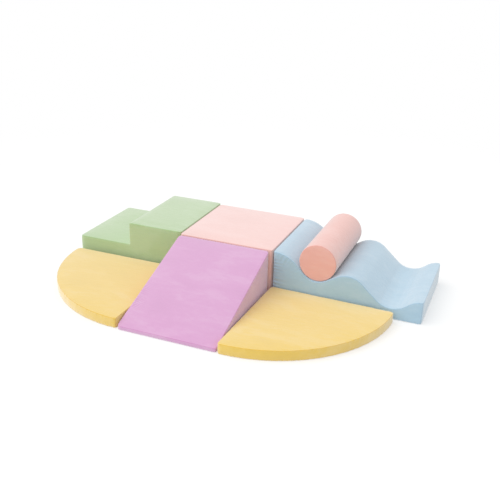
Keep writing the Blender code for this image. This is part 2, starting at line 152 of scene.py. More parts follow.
# Zips: their tape, the bead under the chain, the chain's teeth and the stitches
TAPE_THICKNESS = 0.0015
TAPE_EDGE = 0.0003
TAPE_STEPS = 60
END_TAPE_HALF = 0.0067
END_ZIP_SWEEP = math.radians(270)
CHAIN_PROUD = 0.0012
CHAIN_HALF_WIDTH = 0.0025
BEAD_SLOPE = 0.0008
BEAD_HEIGHT = 0.0004
TOOTH_PITCH = 0.0028
TOOTH_SIZE = (0.0014, 0.0028, 0.0010)
TOOTH_ROUNDING = 0.0003
TOOTH_LIFT = 0.0007
TOOTH_OFF_CENTRE = 0.0011
TOOTH_TILT = 0.3
FIRST_TOOTH = 0.75
STITCH_PITCH = 0.0045
STITCH_INSET = 0.0025
STITCH_SIZE = (0.0030, 0.0006, 0.0005)
STITCH_ROUNDING = 0.00015
STITCH_LIFT = 0.0001

# Sliders: their body, the plate on its back, and the bridge on the plate
SLIDER_LENGTH = 0.014
SLIDER_ROUNDING = 0.0003
SLIDER_SHARP_ANGLE = math.radians(50)
PLATE_FACING = 0.9
PLATE_INSET = 0.0016
PLATE_RISE = 0.0006
BRIDGE_REACH = 0.0032
BRIDGE_RADIUS = 0.0007
BRIDGE_LIFT = 0.0013
BRIDGE_FLATNESS = 0.33
BRIDGE_SIDES = 10
BRIDGE_STEPS = 12

# Hook-and-loop patches: a broad face's least area, and the insets that sink the stitches, with their depths
PATCH_FACE = 0.001
PATCH_INSETS = ((0.003, 0), (0.0006, -0.0003), (0.0008, 0), (0.0006, 0.0003))
LOOP_SIDES = ("square", "wedge_left", "wedge_right")

# Cloth colours, as linear red, green and blue
GREEN = (0.38, 0.54, 0.26)
PINK = (0.86, 0.54, 0.50)
PURPLE = (0.63, 0.31, 0.55)
BLUE = (0.365, 0.55, 0.685)
YELLOW = (0.81, 0.55, 0.075)
ROSE = (0.81, 0.41, 0.355)
SLOT_COLOURS = {
    "square": "pink", "step": "green", "wave": "blue", "wedge": "purple", "left_mat": "yellow",
    "right_mat": "yellow", "roller": "rose",
}
CLOTH_COLOURS = {
    "pink": PINK, "green": GREEN, "blue": BLUE, "purple": PURPLE, "yellow": YELLOW, "rose": ROSE,
}
TAPE_TONE = 0.92
COIL_TONE = 0.7

# Other colours
FOAM_CREAM = (0.90, 0.88, 0.80)
BASE_GREY = (0.10, 0.10, 0.11)
BASE_DOT = (0.28, 0.28, 0.30)
HOOK_GREY = (0.50, 0.50, 0.51)
LOOP_GREY = (0.58, 0.58, 0.59)
ENAMEL = (0.66, 0.66, 0.65)
WHITE = (1, 1, 1)
BLACK = (0, 0, 0)

# Suede: the shades of its pile, and the painted shade along its seams: how far it darkens the colour in a
# seam, beside it and clear of it
BRUSHED_WAY = (0.4, 1, 1)
PILE_SHARE = 0.25
BRUSHED_SHARE = 0.45
SHADE_STOPS = (0.60, 0.85, 1)
LAID_TONE = 0.96
RAISED_PALENESS = 0.06
PAINTED_SEAM_STOPS = (0.02, 0.10, 0.30)
PAINTED_SEAM_SHADE = (0.42, 0.40)
PAINTED_EDGE_SHADE = (0.82, 0.14)
CENTIMETRES = 100

# The colour sockets of a Mix node, whose names its other kinds share
MIX_FIRST = 6
MIX_SECOND = 7
MIX_RESULT = 2

# Grain, woven ribs and rubber dots: the levels between which they change
GRAIN_STOPS = (0.3, 0.7)
RIB_STOPS = (0.2, 0.8)
RIB_TONES = (0.82, 1.04)
DOT_STOPS = (0.26, 0.30)
DOME_STOPS = (0.20, 0.32)

# Light
WORLD_LIGHT = 0.72
DAYLIGHT = 1.6
DAYLIGHT_SPREAD = 75
DAYLIGHT_FROM = Vector((-0.68, -0.50, 1.2))
FLOOR_FADES_FROM = 1.7
FLOOR_FADES_TO = 3.2
FLOOR_MARGIN = 1
FLOOR_SIDES = 96
FLOOR_SOLID = 0.55
FLOOR_WHITE = (0.97, 0.97, 0.97, 1)


def joint(name):
    """One of the frame's joints."""
    return next(j for j in frame["joints"] if j["name"] == name)


def joint_axis(name):
    """The axis of one of the frame's joints."""
    return Vector(joint(name)["axis"])


def middle(node):
    """The middle of a node's box."""
    low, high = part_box(node)
    return (low + high) / 2


def tree_of(obj):
    """A search tree over an object's surface."""
    return BVHTree.FromObject(obj, bpy.context.evaluated_depsgraph_get())


def linked(name, data):
    """An object in the scene for a mesh, a lamp or a camera."""
    made = bpy.data.objects.new(name, data)
    bpy.context.scene.collection.objects.link(made)
    return made


def as_shown(obj):
    """A mesh of an object with its modifiers applied."""
    graph = bpy.context.evaluated_depsgraph_get()
    return bpy.data.meshes.new_from_object(obj.evaluated_get(graph))


def points_of(mesh):
    """The points of a mesh, as rows of a table."""
    flat = np.empty(len(mesh.vertices) * 3)
    mesh.vertices.foreach_get("co", flat)
    return flat.reshape(-1, 3)


def normals_of(mesh):
    """The normals of a mesh at its points, as rows of a table."""
    return np.array([tuple(item.vector) for item in mesh.vertex_normals])


# Seams


def between(start, end):
    """Points along a straight stretch, its end left out."""
    steps = max(1, round((end - start).length / SEAM_SAMPLE))
    return [start.lerp(end, i / steps) for i in range(steps)]


def seam(corners, closed=False):
    """A seam's points along straight stretches between corners."""
    ends = corners[1:] + corners[:1] if closed else corners[1:]
    line = []
    for start, end in zip(corners, ends):
        line += between(start, end)
    return line if closed else line + [corners[-1]]


def rounded(lines, corners):
    """The seams, led on an arc round each upright corner: its place and the two ways that run from it."""
    for line in lines:
        for point in line:
            for spot, first, second in corners:
                across = CORNER_ROUND - (point - spot).dot(first)
                along = CORNER_ROUND - (point - spot).dot(second)
                if across > 0 and along > 0:
                    inward = 1 - max(across, along) / math.hypot(across, along)
                    point += (first * across + second * along) * inward
    return lines


def box_corners(node):
    """The four upright corners of a node's box, each with the two ways that run from it."""
    low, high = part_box(node)
    corners = []
    for x, first in ((low.x, Vector((1, 0, 0))), (high.x, Vector((-1, 0, 0)))):
        for y, second in ((low.y, Vector((0, 1, 0))), (high.y, Vector((0, -1, 0)))):
            corners.append((Vector((x, y, 0)), first, second))
    return corners


def upright_seams(outline, low, high):
    """Seams of a block with a level outline: round its top and its bottom, and up its corners."""
    seams = []
    for level in (low, high):
        seams.append(seam([Vector((x, y, level)) for x, y, _ in outline], closed=True))
    for x, y, corner in outline:
        if corner:
            seams.append(seam([Vector((x, y, low)), Vector((x, y, high))]))
    return seams


def cheek_seams(outline, place, across):
    """Seams of a block whose side has this outline: round both sides, and across at its corners."""
    seams = []
    for offset in across:
        seams.append(seam([place(u, v, offset) for u, v, _ in outline], closed=True))
    for u, v, corner in outline:
        if corner:
            seams.append(seam([place(u, v, across[0]), place(u, v, across[1])]))
    return seams


def along_x(u, v, offset):
    """Places a point of a front or back outline."""
    return Vector((u, offset, v))


def along_y(u, v, offset):
    """Places a point of a left or right outline."""
    return Vector((offset, u, v))


def square_seams():
    """Seams of the square block."""
    (left, front, low), (right, back, high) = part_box("square_cover")
    outline = [(left, front, True), (right, front, True), (right, back, True), (left, back, True)]
    return rounded(upright_seams(outline, low, high), box_corners("square_cover"))


def step_seams():
    """Seams of the step block, whose sides have the outline of its two steps."""
    (left, front, low), (right, back, high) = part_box("step_cover")
    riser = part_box("step_upper_foam")[0].x - SKIN
    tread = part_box("step_lower_foam")[1].z + SKIN
    outline = [
        (left, low, True), (right, low, True), (right, high, True), (riser, high, False),
        (riser, tread, False), (left, tread, True),
    ]
    return rounded(cheek_seams(outline, along_x, (front, back)), box_corners("step_cover"))


def wave_line():
    """The wave's upper line, read off the frame's cover."""
    (left, front, _), (right, back, high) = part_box("wave_cover")
    surface = tree_of(frame["nodes"]["wave_cover"])
    line = [(left, high)]
    for i in range(WAVE_STEPS + 1):
        x = left + WAVE_INSET + (right - left - 2 * WAVE_INSET) * i / WAVE_STEPS
        hit = surface.ray_cast(Vector((x, (front + back) / 2, RAY_HEIGHT)), DOWN)
        line.append((x, hit[0].z))
    return line + [(right, line[-1][1])]


def wave_seams():
    """Seams of the wave block, whose sides have the outline of its wave."""
    (left, front, low), (right, back, _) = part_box("wave_cover")
    line = wave_line()
    ends = (line[0], line[-1])
    outline = [(left, low, True), *[(x, z, (x, z) in ends) for x, z in line], (right, low, True)]
    return rounded(cheek_seams(outline, along_x, (front, back)), box_corners("wave_cover"))


def wedge_seams():
    """Seams of the wedge, whose slope is followed down to its front, where it ends in a low lip."""
    (left, front, low), (right, back, high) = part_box("wedge_cover")
    above = Vector((middle("wedge_cover").x, front + WEDGE_PROBE, RAY_HEIGHT))
    lip = tree_of(frame["nodes"]["wedge_cover"]).ray_cast(above, DOWN)[0].z
    slope = (high - lip) / (back - front - WEDGE_PROBE)
    toe = high - slope * (back - front)
    outline = [(front, low, True), (back, low, True), (back, high, True), (front, toe, True)]
    return rounded(cheek_seams(outline, along_y, (left, right)), box_corners("wedge_cover"))


def mat_seams(name, side, sideways):
    """Seams of a quarter-round mat, from where its zip lies and which way its back edge runs."""
    low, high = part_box(name + "_cover")
    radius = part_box("left_mat_cover")[1].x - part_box("left_mat_cover")[0].x
    outwards = sideways * side
    forwards = Vector((sideways.y, -sideways.x, 0))
    corner = middle(name + "_zip") - outwards * radius / 2
    outline = [(corner.x, corner.y, True)]
    for i in range(MAT_STEPS + 1):
        angle = math.pi / 2 * i / MAT_STEPS
        spot = corner + (outwards * math.cos(angle) + forwards * math.sin(angle)) * radius
        outline.append((spot.x, spot.y, i in (0, MAT_STEPS)))
    corners = [
        (corner, outwards, forwards), (corner + outwards * radius, -outwards, forwards),
        (corner + forwards * radius, outwards, -forwards),
    ]
    return rounded(upright_seams(outline, low.z, high.z), corners)


def roller_seams():
    """Seams of the roller: round both ends, and one along the tube underneath."""
    (left, front, _), (right, back, _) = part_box("roller_cover")
    centre = middle("roller_cover")
    radius = (right - left) / 2
    turns = [2 * math.pi * i / TUBE_STEPS for i in range(TUBE_STEPS)]
    outline = [(centre.x + radius * math.sin(a), centre.z - radius * math.cos(a), not a) for a in turns]
    return cheek_seams(outline, along_x, (front, back))


def on_box(node, across, deep, up):
    """A point of a node's box, each share from 0 at its low side to 1 at its high side."""
    low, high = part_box(node)
    return [a + (b - a) * share for a, b, share in zip(low, high, (across, deep, up))]


# Padded covers


def foam_solid(name, nodes, lines, grid):
    """The foam under a cover as one evenly divided body: the step block's two slabs grow together."""
    shape = bmesh.new()
    for node in nodes:
        shape.from_mesh(frame["nodes"][node].data)
    bmesh.ops.remove_doubles(shape, verts=shape.verts, dist=TINY)
    mesh = bpy.data.meshes.new(name)
    shape.to_mesh(mesh)
    shape.free()
    rough = linked(name + "_foam", mesh)
    even = rough.modifiers.new("even", "REMESH")
    even.mode = "VOXEL"
    even.voxel_size = grid
    smooth = rough.modifiers.new("smooth", "SMOOTH")
    smooth.iterations = EVEN_STEPS
    made = linked(name, as_shown(rough))
    smooth.show_viewport = even.show_viewport = False
    foam_surface = tree_of(rough)
    for vert in made.data.vertices:
        vert.co = foam_surface.find_nearest(vert.co)[0]
    crease(made.data, Seams(rough, lines), grid)
    bpy.data.objects.remove(rough)
    return made


def crease(mesh, seams, grid):
    """Draws the points beside each seam onto it, and cuts the faces between them along it."""
    shape = bmesh.new()
    shape.from_mesh(mesh)
    on_seam = []
    for vert in shape.verts:
        point, _, distance = seams.search.find(vert.co)
        if distance < grid * CREASE_REACH:
            vert.co = point
            on_seam.append(vert)
    bmesh.ops.remove_doubles(shape, verts=on_seam, dist=grid * CREASE_MERGE)
    on_seam = [vert for vert in shape.verts if seams.search.find(vert.co)[2] < SEAM_SAMPLE]
    bmesh.ops.connect_verts(shape, verts=on_seam)
    shape.to_mesh(mesh)
    shape.free()


def evened(shifts):
    """The shifts of a line's points, each made the mean of those around it."""
    around = min(SEAM_EVENING, len(shifts) // 2)
    window = np.ones(2 * around + 1) / (2 * around + 1)
    wide = np.pad(shifts, ((around, around), (0, 0)), mode="edge")
    return np.stack([np.convolve(wide[:, axis], window, mode="valid") for axis in range(3)], axis=1)


class Seams:
    """The seams of one cover, laid on its surface, and how far each point of a mesh lies from them."""

    def __init__(self, obj, lines):
        surface = tree_of(obj)
        edges = []
        points = []
        along = []
        for number, line in enumerate(lines):
            edge = np.array([tuple(point) for point in line])
            laid = np.array([tuple(surface.find_nearest(point)[0]) for point in line])
            edges.append(edge)
            points.append(edge + evened(laid - edge))
            along.append(np.arange(len(line)) * SEAM_SAMPLE + SEAM_APART * number)
        self.edges = np.concatenate(edges)
        self.points = np.concatenate(points)
        self.along = np.concatenate(along)
        self.search = KDTree(len(self.points))
        for index, point in enumerate(self.points):
            self.search.insert(point, index)
        self.search.balance()

    def nearest(self, points):
        """Each point's distance to the nearest seam, and the number of the seam's point there."""
        found = [self.search.find(point) for point in points]
        return np.array([f[2] for f in found]), np.array([f[1] for f in found])


def refine(mesh, reach):
    """Divides the faces that lie near a seam once more, and evens their points."""
    shape = bmesh.new()
    shape.from_mesh(mesh)
    away = shape.verts.layers.float["seam_distance"]
    near = [face for face in shape.faces if min(vert[away] for vert in face.verts) < reach]
    edges = list({edge for face in near for edge in face.edges})
    bmesh.ops.subdivide_edges(shape, edges=edges, cuts=1, use_grid_fill=True)
    around = [vert for vert in shape.verts if vert[away] < reach]
    bmesh.ops.smooth_vert(shape, verts=around, factor=0.5, use_axis_x=True, use_axis_y=True, use_axis_z=True)
    shape.to_mesh(mesh)
    shape.free()


def keep_distance(mesh, away):
    """Keeps each point's distance to its seam on the mesh."""
    attribute = mesh.attributes.get("seam_distance") or mesh.attributes.new("seam_distance", "FLOAT", "POINT")
    attribute.data.foreach_set("value", away.astype(np.float32))


def kept_distance(mesh):
    """Each point's distance to its seam, as kept on the mesh."""
    away = np.empty(len(mesh.vertices), np.float32)
    mesh.attributes["seam_distance"].data.foreach_get("value", away)
    return away.astype(float)


def inflate(obj, seams):
    """Fills the cover by a cloth simulation under pressure, held at its seams and underneath."""
    mesh = obj.data
    distance, _ = seams.nearest(points_of(mesh))
    hold = np.exp(-(distance / SEAM_HOLD) ** 2)
    hold[normals_of(mesh)[:, 2] < UNDERSIDE] = 1
    group = obj.vertex_groups.new(name="held")
    for index, weight in enumerate(hold):
        group.add([index], float(weight), "REPLACE")
    cloth = obj.modifiers.new("cloth", "CLOTH")
    settings = cloth.settings
    settings.quality = SIM_QUALITY
    settings.mass = SIM_MASS
    settings.tension_stiffness = SIM_TENSION
    settings.compression_stiffness = SIM_TENSION
    settings.shear_stiffness = SIM_SHEAR
    settings.bending_stiffness = SIM_BENDING
    settings.vertex_group_mass = "held"
    settings.use_pressure = True
    settings.uniform_pressure_force = SIM_PRESSURE
    settings.effector_weights.gravity = 0
    cloth.point_cache.frame_start = 1
    cloth.point_cache.frame_end = SIM_FRAMES
    for step in range(1, SIM_FRAMES + 1):
        bpy.context.scene.frame_set(step)
    filled = as_shown(obj)
    moved = points_of(filled) - points_of(mesh)
    obj.modifiers.remove(cloth)
    obj.vertex_groups.remove(group)
    bpy.data.meshes.remove(filled)
    bpy.context.scene.frame_set(1)
    return moved


def flat_zones(name):
    """The boxes of the zip and the hook-and-loop patches on a block, where its cover stays flat."""
    return [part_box(node) for node in frame["nodes"] if node.startswith(name + "_") and (
        node.endswith("_patch") or node.endswith("_zip"))]


def outside(points, low, high):
    """Each point's distance from a box."""
    return np.linalg.norm(np.maximum(0, np.maximum(np.array(low) - points, points - np.array(high))), axis=1)


def slider_stops(block):
    """The moves that take a block's slider in short steps along its straight zip."""
    pull = joint(block + "_zip_pull")
    travel = pull["range_m"][1]
    steps = math.ceil(travel / SLIDER_LENGTH * 2)
    return [Matrix.Translation(Vector(pull["axis"]) * travel * i / steps) for i in range(steps + 1)]


def neighbours_of(name):
    """A search tree over the covers, patches and roller beside a block, and every slider along its zip."""
    shape = bmesh.new()
    for other, obj in frame["nodes"].items():
        if other.startswith(name + "_"):
            continue
        if other.endswith(("_cover", "_patch", "_front_end", "_back_end")):
            shape.from_mesh(obj.data)
        elif other.endswith("_zip_slider") and not other.startswith("roller"):
            add_copies(shape, obj.data.copy(), slider_stops(other.removesuffix("_zip_slider")))
    tree = BVHTree.FromBMesh(shape)
    shape.free()
    return tree


def room(name, points):
    """How far the cover may swell at each point before it meets its neighbour halfway."""
    beside = neighbours_of(name)
    near = [beside.find_nearest(point, NEIGHBOUR_REACH)[3] for point in points]
    return np.array([NEIGHBOUR_REACH if gap is None else gap / 2 for gap in near]) - NEIGHBOUR_CLEARANCE


def crown_limit(name, points, normals):
    """How far the cover may stand off its nominal surface at each point."""
    if name == "roller":
        limit = np.where(np.abs(normals[:, 1]) > FACING, END_CROWN, TUBE_CROWN)
    else:
        limit = np.where(normals[:, 2] > FACING, TOP_CROWN, SIDE_CROWN)
    for low, high in flat_zones(name):
        near = np.clip(outside(points, low, high) / FLAT_MARGIN, 0, 1)
        limit = FLAT_CROWN + (limit - FLAT_CROWN) * near * near * (3 - 2 * near)
    return np.minimum(limit, room(name, points + normals * SKIN))


def gathered(name, points, normals):
    """How strongly the cloth is gathered at each point, and how far its folds lean."""
    strength = np.zeros(len(points))
    lean = np.zeros(len(points))
    for spot, reach, gather, slant, panel in GATHERS.get(name, ()):
        share = gather * np.exp(-(np.linalg.norm(points - np.array(spot), axis=1) / reach) ** 2)
        share *= np.clip(normals @ np.array(panel), 0, 1)
        strength += share
        lean += share * slant
    return strength, lean / np.maximum(strength, LEAST_GATHER)


def pucker(place, away, gather, lean):
    """The small folds that run off a taut seam: loose ones all along it, and a row where it is gathered."""
    fold = noise.noise(Vector((place / PUCKER_LENGTH, FOLD_ROW, away / (FOLD_STRETCH * PUCKER_LENGTH))))
    swell = noise.noise(Vector((place / (SWELL_STRETCH * PUCKER_LENGTH), SWELL_ROW, NOISE_DEPTH)))
    loose = PUCKER_HEIGHT * fold * (PUCKER_SHARE + swell) * math.exp(-away / PUCKER_REACH)
    step = (place + lean * away) / GATHER_PITCH + GATHER_DRIFT * swell
    uneven = noise.noise(Vector((place / (GATHER_STRETCH * GATHER_PITCH), GATHER_ROW, NOISE_DEPTH)))
    depth = GATHER_HEIGHT * (GATHER_SHARE + uneven)
    row = depth * math.sin(2 * math.pi * step) * math.exp(-(away / GATHER_REACH) ** 2)
    slack = 1 - math.exp(-(away / SEAM_TAUT) ** 2)
    return slack * (loose + gather * row)


def padded_cover(name, foams, nodes, lines, material, grid):
    """A sewn cover over its foam, filled, with its seams drawn in and small folds beside them."""
    obj = foam_solid(name + "_padded_cover", foams, lines, grid)
    seams = Seams(obj, lines)
    mesh = obj.data
    points = points_of(mesh)
    normals = normals_of(mesh)
    rise = np.zeros(len(points))
    rise = np.maximum(0, np.einsum("ij,ij->i", inflate(obj, seams), normals))
    limit = crown_limit(name, points, normals)
    rise = np.where(limit > 0, limit * np.tanh(rise / np.maximum(limit, TINY)), limit)
    moved = points + normals * (SKIN + rise)[:, None]
    mesh.vertices.foreach_set("co", moved.ravel())
    finer = obj.modifiers.new("finer", "SUBSURF")
    finer.levels = finer.render_levels = 1
    fine = as_shown(obj)
    obj.modifiers.remove(finer)
    obj.data = fine
    bpy.data.meshes.remove(mesh)
    sew(obj, name, Seams(obj, lines))
    obj.data.shade_smooth()
    dressed(obj, material)
    stand_for(obj, nodes)


def sew(obj, name, seams):
    """Fills the edges out to their seams, draws these in, and puckers the cloth beside them."""
    mesh = obj.data
    keep_distance(mesh, seams.nearest(points_of(mesh))[0])
    for band in SEAM_BANDS:
        refine(mesh, band)
    points = points_of(mesh)
    normals = normals_of(mesh)
    away = kept_distance(mesh)
    near = np.nonzero(away < PUCKER_END)[0]
    away[near], nearest = seams.nearest(points[near])
    shift = -SEAM_DEPTH * np.exp(-(away / SEAM_WIDTH) ** 2)
    strength, lean = gathered(name, points, normals)
    for index, place in zip(near, seams.along[nearest]):
        shift[index] += pucker(place, away[index], strength[index], lean[index])
    share = EDGE_SHARE * np.exp(-(away[near] / EDGE_REACH) ** 2)
    points[near] += (seams.edges - seams.points)[nearest] * share[:, None]
    points += normals * shift[:, None]
    points[:, 2] = np.maximum(points[:, 2], FLOOR_CLEARANCE)
    mesh.vertices.foreach_set("co", points.ravel())
    keep_distance(mesh, away)


# Zips, sliders, patches


def home_of(node):
    """The body that a node of the frame moves with."""
    bodies = frame["record"]["behaviour"]["bodies"]
    return next(body for body, nodes in bodies.items() if node in nodes)


def dressed(obj, *materials):
    """Gives an object its materials."""
    obj.data.materials.clear()
    for material in materials:
        obj.data.materials.append(material)
    return obj


def stand_for(obj, nodes):
    """Shows a piece in place of nodes of the frame, on their body and with their finish."""
    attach(obj, home_of(nodes[0]))
    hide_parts(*nodes)


def placed(along, out, spot):
    """The turn and place of a small part: X along the zip, Y across it, Z out of the cover."""
    across = out.cross(along)
    return Matrix.Translation(spot) @ Matrix((along, across, out)).transposed().to_4x4()


def straight_path(name):
    """A zip's length, and its turn and place at a distance along it, for a block."""
    along = joint_axis(name + "_zip_pull")
    out = UP.cross(along)
    out *= math.copysign(1, out.y)
    low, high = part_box(name + "_zip")
    length = (high.x - low.x) / abs(along.x)
    start = middle(name + "_zip") + out * (TAPE_THICKNESS - CHAIN_PROUD) / 2 - along * length / 2
    return length, lambda distance: placed(along, out, start + along * distance)


def round_path():
    """The same for the zip that runs round the roller's back end."""
    axis = joint_axis("roller_zip_pull")
    centre = middle("roller_cover")
    centre.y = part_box("roller_back_end")[1].y
    slider = middle("roller_zip_slider")
    slider.y = centre.y
    radius = (slider - centre).length
    arm = Matrix.Rotation(-SLIDER_LENGTH / radius, 3, axis) @ (slider - centre)

    def place(distance):
        turned = Matrix.Rotation(distance / radius, 3, axis) @ arm
        return placed(axis.cross(turned).normalized(), Vector((0, 1, 0)), centre + turned)

    return END_ZIP_SWEEP * radius, place


def small_block(size, rounding, material):
    """A small block with rounded edges, to be copied along a zip."""
    shape = bmesh.new()
    bmesh.ops.create_cube(shape, size=1, matrix=Matrix.Diagonal((*size, 1)))
    bmesh.ops.bevel(
        shape, geom=shape.edges[:], offset=rounding, offset_type="OFFSET", affect="EDGES", segments=1,
        profile=0.5, material=-1,
    )
    for face in shape.faces:
        face.material_index = material
    mesh = bpy.data.meshes.new("small_block")
    shape.to_mesh(mesh)
    shape.free()
    return mesh


def add_copies(shape, mesh, places):
    """Adds a copy of a mesh at each place, and lets the mesh go."""
    for place in places:
        mesh.transform(place)
        shape.from_mesh(mesh)
        mesh.transform(place.inverted())
    bpy.data.meshes.remove(mesh)


def add_tape(shape, length, place, half_width):
    """Adds a zip's woven tape with a raised bead under the chain, run along its path."""
    right_half = [
        (half_width, -TAPE_THICKNESS), (half_width, -TAPE_EDGE), (half_width - TAPE_EDGE, 0),
        (CHAIN_HALF_WIDTH + BEAD_SLOPE, 0), (CHAIN_HALF_WIDTH, BEAD_HEIGHT),
    ]
    left_half = [(-across, out) for across, out in reversed(right_half)]
    section = left_half[-1:] + right_half + left_half[:-1]
    first = place(0)
    face = shape.faces.new([shape.verts.new(first @ Vector((0, across, out))) for across, out in section])
    for i in range(TAPE_STEPS):
        step = place(length * (i + 1) / TAPE_STEPS) @ place(length * i / TAPE_STEPS).inverted()
        made = bmesh.ops.extrude_face_region(shape, geom=[face], use_keep_orig=i == 0)["geom"]
        ends = [item for item in made if isinstance(item, bmesh.types.BMVert)]
        bmesh.ops.transform(shape, matrix=step, verts=ends)
        face = next(item for item in made if isinstance(item, bmesh.types.BMFace))
    bmesh.ops.recalc_face_normals(shape, faces=shape.faces)


def zip_closure(name, length, place, half_width, tape, coil, thread):
    """A zip: its tape, the two rows of its nylon coil that mesh down the middle, and the stitching."""
    shape = bmesh.new()
    add_tape(shape, length, place, half_width)
    teeth = []
    stitches = []
    for side in (-1, 1):
        lift = Matrix.Translation((0, side * TOOTH_OFF_CENTRE, TOOTH_LIFT))
        tilt = lift @ Matrix.Rotation(side * TOOTH_TILT, 4, "Z")
        for i in range(int(length / TOOTH_PITCH) - 1):
            teeth.append(place((i + FIRST_TOOTH + side / 4) * TOOTH_PITCH) @ tilt)
        edge = Matrix.Translation((0, side * (half_width - STITCH_INSET), STITCH_LIFT))
        for i in range(int(length / STITCH_PITCH) - 1):
            stitches.append(place((i + 1) * STITCH_PITCH) @ edge)
    add_copies(shape, small_block(TOOTH_SIZE, TOOTH_ROUNDING, material=1), teeth)
    add_copies(shape, small_block(STITCH_SIZE, STITCH_ROUNDING, material=2), stitches)
    mesh = bpy.data.meshes.new(name + "_zip_closure")
    shape.to_mesh(mesh)
    shape.free()
    closure = dressed(linked(name + "_zip_closure", mesh), tape, coil, thread)
    stand_for(closure, [name + "_zip"])


def merged(node):
    """A node's shape with its loose triangles joined into whole faces."""
    shape = bmesh.new()
    shape.from_mesh(frame["nodes"][node].data)
    bmesh.ops.remove_doubles(shape, verts=shape.verts, dist=TINY)
    bmesh.ops.dissolve_limit(shape, angle_limit=FLAT_ANGLE, verts=shape.verts, edges=shape.edges)
    return shape


def slider_bridge():
    """The low bridge on a slider's back that a pull would hang from."""
    shape = bmesh.new()
    ring = bmesh.ops.create_circle(shape, cap_ends=True, segments=BRIDGE_SIDES, radius=BRIDGE_RADIUS)
    bmesh.ops.translate(shape, vec=(-BRIDGE_REACH, 0, 0), verts=ring["verts"])
    foot = ring["verts"][0].link_faces[:]
    bmesh.ops.spin(shape, geom=foot, cent=(0, 0, 0), axis=(0, 1, 0), angle=math.pi, steps=BRIDGE_STEPS)
    bmesh.ops.scale(shape, vec=(1, 1, BRIDGE_FLATNESS), verts=shape.verts)
    mesh = bpy.data.meshes.new("slider_bridge")
    shape.to_mesh(mesh)
    shape.free()
    return mesh


def zip_slider(name, place, enamel):
    """A zip's slider with softened edges and the bridge on its back."""
    node = name + "_zip_slider"
    shape = merged(node)
    out = place.to_3x3() @ UP
    top_faces = [face for face in shape.faces if face.normal.dot(out) > PLATE_FACING]
    plate = max(top_faces, key=lambda face: face.calc_area())
    bmesh.ops.inset_individual(
        shape, faces=[plate], thickness=PLATE_INSET, depth=PLATE_RISE, use_even_offset=True,
    )
    bmesh.ops.bevel(
        shape, geom=shape.edges[:], offset=SLIDER_ROUNDING, offset_type="OFFSET", affect="EDGES", segments=2,
        profile=0.5, material=-1, clamp_overlap=True,
    )
    top = Matrix.Translation(middle(node) + out * BRIDGE_LIFT)
    add_copies(shape, slider_bridge(), [top @ place.to_3x3().to_4x4()])
    bmesh.ops.recalc_face_normals(shape, faces=shape.faces)
    mesh = bpy.data.meshes.new(name + "_slider_body")
    shape.to_mesh(mesh)
    shape.free()
    mesh.shade_smooth()
    mesh.set_sharp_from_angle(angle=SLIDER_SHARP_ANGLE)
    slider = dressed(linked(name + "_slider_body", mesh), enamel)
    stand_for(slider, [node])


def loose_foam(material):
    """The roller's foam, eased a little inside its cover."""
    shape = merged("roller_foam_core")
    for vert in shape.verts:
        vert.co -= vert.normal * FOAM_EASE
    mesh = bpy.data.meshes.new("roller_foam")
    shape.to_mesh(mesh)
    shape.free()
    mesh.shade_smooth()
    mesh.set_sharp_from_angle(angle=FOAM_SHARP_ANGLE)
    foam = dressed(linked("roller_foam", mesh), material)
    stand_for(foam, ["roller_foam_core"])


def sewn_patch(node, material):
    """A hook-and-loop patch with the sunk line of stitches that holds it near its edge."""
    shape = merged(node)
    broad = [face for face in shape.faces if face.calc_area() > PATCH_FACE]
    for thickness, depth in PATCH_INSETS:
        bmesh.ops.inset_individual(shape, faces=broad, thickness=thickness, depth=depth, use_even_offset=True)
    mesh = bpy.data.meshes.new(node + "_sewn")
    shape.to_mesh(mesh)
    shape.free()
    patch = dressed(linked(node + "_sewn", mesh), material)
    stand_for(patch, [node])


# Finishes


def new_material(name):
    """A material, its node tree and its Principled shader."""
    made = bpy.data.materials.new(name)
    made.use_nodes = True
    tree = made.node_tree
    return made, tree, tree.nodes["Principled BSDF"]


def add_node(tree, kind, **values):
    """A shader node with its properties, or its sockets where a name starts with a capital letter."""
    made = tree.nodes.new("ShaderNode" + kind)
    for key, value in values.items():
        if key[0].isupper():
            made.inputs[key.replace("_", " ")].default_value = value
        else:
            setattr(made, key, value)
    return made


def ramp(tree, source, stops):
    """A colour ramp over a value."""
    made = add_node(tree, "ValToRGB")
    elements = made.color_ramp.elements
    stops = list(stops)
    while len(elements) < len(stops):
        elements.new(1)
    for element, (place, colour) in zip(elements, stops):
        element.position = place
        element.color = (*colour, 1)
    tree.links.new(source, made.inputs["Fac"])
    return made.outputs["Color"]


def tone(colour, factor):
    """A colour made lighter or darker."""
    return tuple(min(1, channel * factor) for channel in colour)


def textures(tree, stretch=(1, 1, 1), **kinds):
    """Noise textures over the object's own coordinates, one for each name and its sockets."""
    place = add_node(tree, "TexCoord").outputs["Object"]
    drawn_out = add_node(tree, "Mapping", Scale=stretch)
    tree.links.new(place, drawn_out.inputs["Vector"])
    made = {}
    for name, values in kinds.items():
        made[name] = add_node(tree, "TexNoise", **values)
        tree.links.new(drawn_out.outputs["Vector"], made[name].inputs["Vector"])
    return made


def raised(tree, height, strength, distance, under=None):
    """A bump from a height, on top of another bump where there is one."""
    bump = add_node(tree, "Bump", Strength=strength, Distance=distance)
    tree.links.new(height, bump.inputs["Height"])
    if under:
        tree.links.new(under, bump.inputs["Normal"])
    return bump.outputs["Normal"]


def scaled(tree, value, factor, added=None):
    """A value times a number, and another value added to it."""
    made = add_node(tree, "Math", operation="MULTIPLY_ADD")
    tree.links.new(value, made.inputs[0])
    made.inputs[1].default_value = factor
    if added:
        tree.links.new(added, made.inputs[2])
    else:
        made.inputs[2].default_value = 0
    return made.outputs[0]


